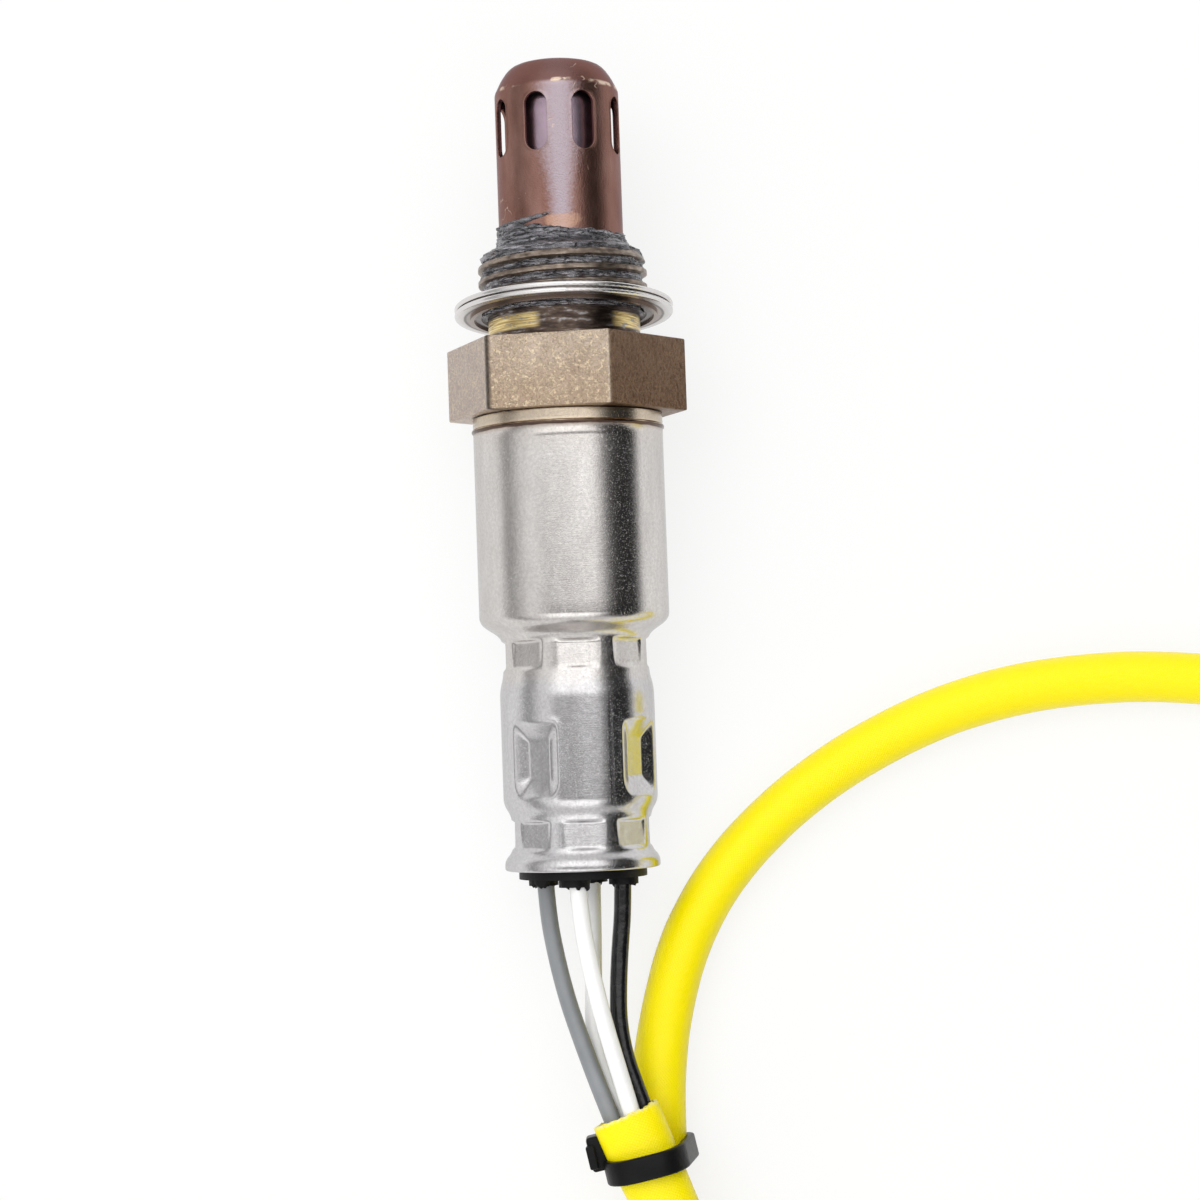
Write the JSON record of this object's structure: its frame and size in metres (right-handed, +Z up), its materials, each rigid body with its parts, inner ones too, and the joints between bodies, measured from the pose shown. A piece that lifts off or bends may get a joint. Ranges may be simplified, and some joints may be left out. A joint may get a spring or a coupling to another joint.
{
  "type": "oxygen sensor",
  "caption": "Heated exhaust oxygen sensor with slotted tip, threaded hexagon shell, crimped steel casing and a looped, sleeved lead with a cable tie and a plug.",
  "frame": {"origin": "on the table, under the middle of the sensor's own box, the lead and its plug left out", "axes": "+Y along the sensor towards its slotted tip, +Z up from the table; the sensor's own axis rises a few degrees towards the tip because it lies on its hexagon and its flared end"},
  "size_m": [0.1148, 0.1833, 0.0242],
  "materials": {
    "shell_steel": "turned steel, heat stained",
    "cover_steel": "drawn steel, tinted brown by heat",
    "inner_cover_steel": "drawn steel, tinted dark by heat",
    "gasket_steel": "folded steel strip, bright",
    "casing_steel": "pressed stainless steel, satin",
    "grommet_rubber": "black rubber",
    "zirconia": "fired ceramic with a metal coat",
    "ceramic": "white fired ceramic",
    "spring_steel": "plain steel",
    "talc": "pressed talc powder",
    "contact_metal": "plated contact metal",
    "wire_white": "smooth white insulation",
    "wire_black": "smooth black insulation",
    "wire_grey": "smooth grey insulation",
    "glass_sleeve": "varnished yellow glass-fibre braid",
    "tie_nylon": "black nylon",
    "plug_plastic": "black moulded plastic",
    "seal_rubber": "brown silicone rubber"
  },
  "bodies": {
    "root": {"hex_shell": "shell_steel", "outer_cover": "cover_steel", "inner_cover": "inner_cover_steel", "gasket": "gasket_steel", "casing": "casing_steel", "grommet": "grommet_rubber", "sensing_element": "zirconia", "heater_rod": "ceramic", "packing_washer": "spring_steel", "talc_ring": "talc", "pressure_ring": "ceramic", "crimp_ring": "spring_steel", "outer_contact": "contact_metal", "inner_contact": "contact_metal", "spring_washer": "spring_steel", "separator": "ceramic", "terminal_1": "contact_metal", "terminal_2": "contact_metal", "terminal_3": "contact_metal", "terminal_4": "contact_metal", "wire_white_front": "wire_white", "wire_white_back": "wire_white", "wire_black": "wire_black", "wire_grey": "wire_grey", "sleeve": "glass_sleeve", "cable_tie": "tie_nylon", "plug_wire_1": "wire_grey", "plug_wire_2": "wire_black", "plug_wire_3": "wire_white", "plug_wire_4": "wire_white", "plug_housing": "plug_plastic", "plug_pin_1": "contact_metal", "plug_pin_2": "contact_metal", "plug_pin_3": "contact_metal", "plug_pin_4": "contact_metal", "plug_seal_1": "seal_rubber", "plug_seal_2": "seal_rubber", "plug_seal_3": "seal_rubber", "plug_seal_4": "seal_rubber"}
  },
  "joints": []
}
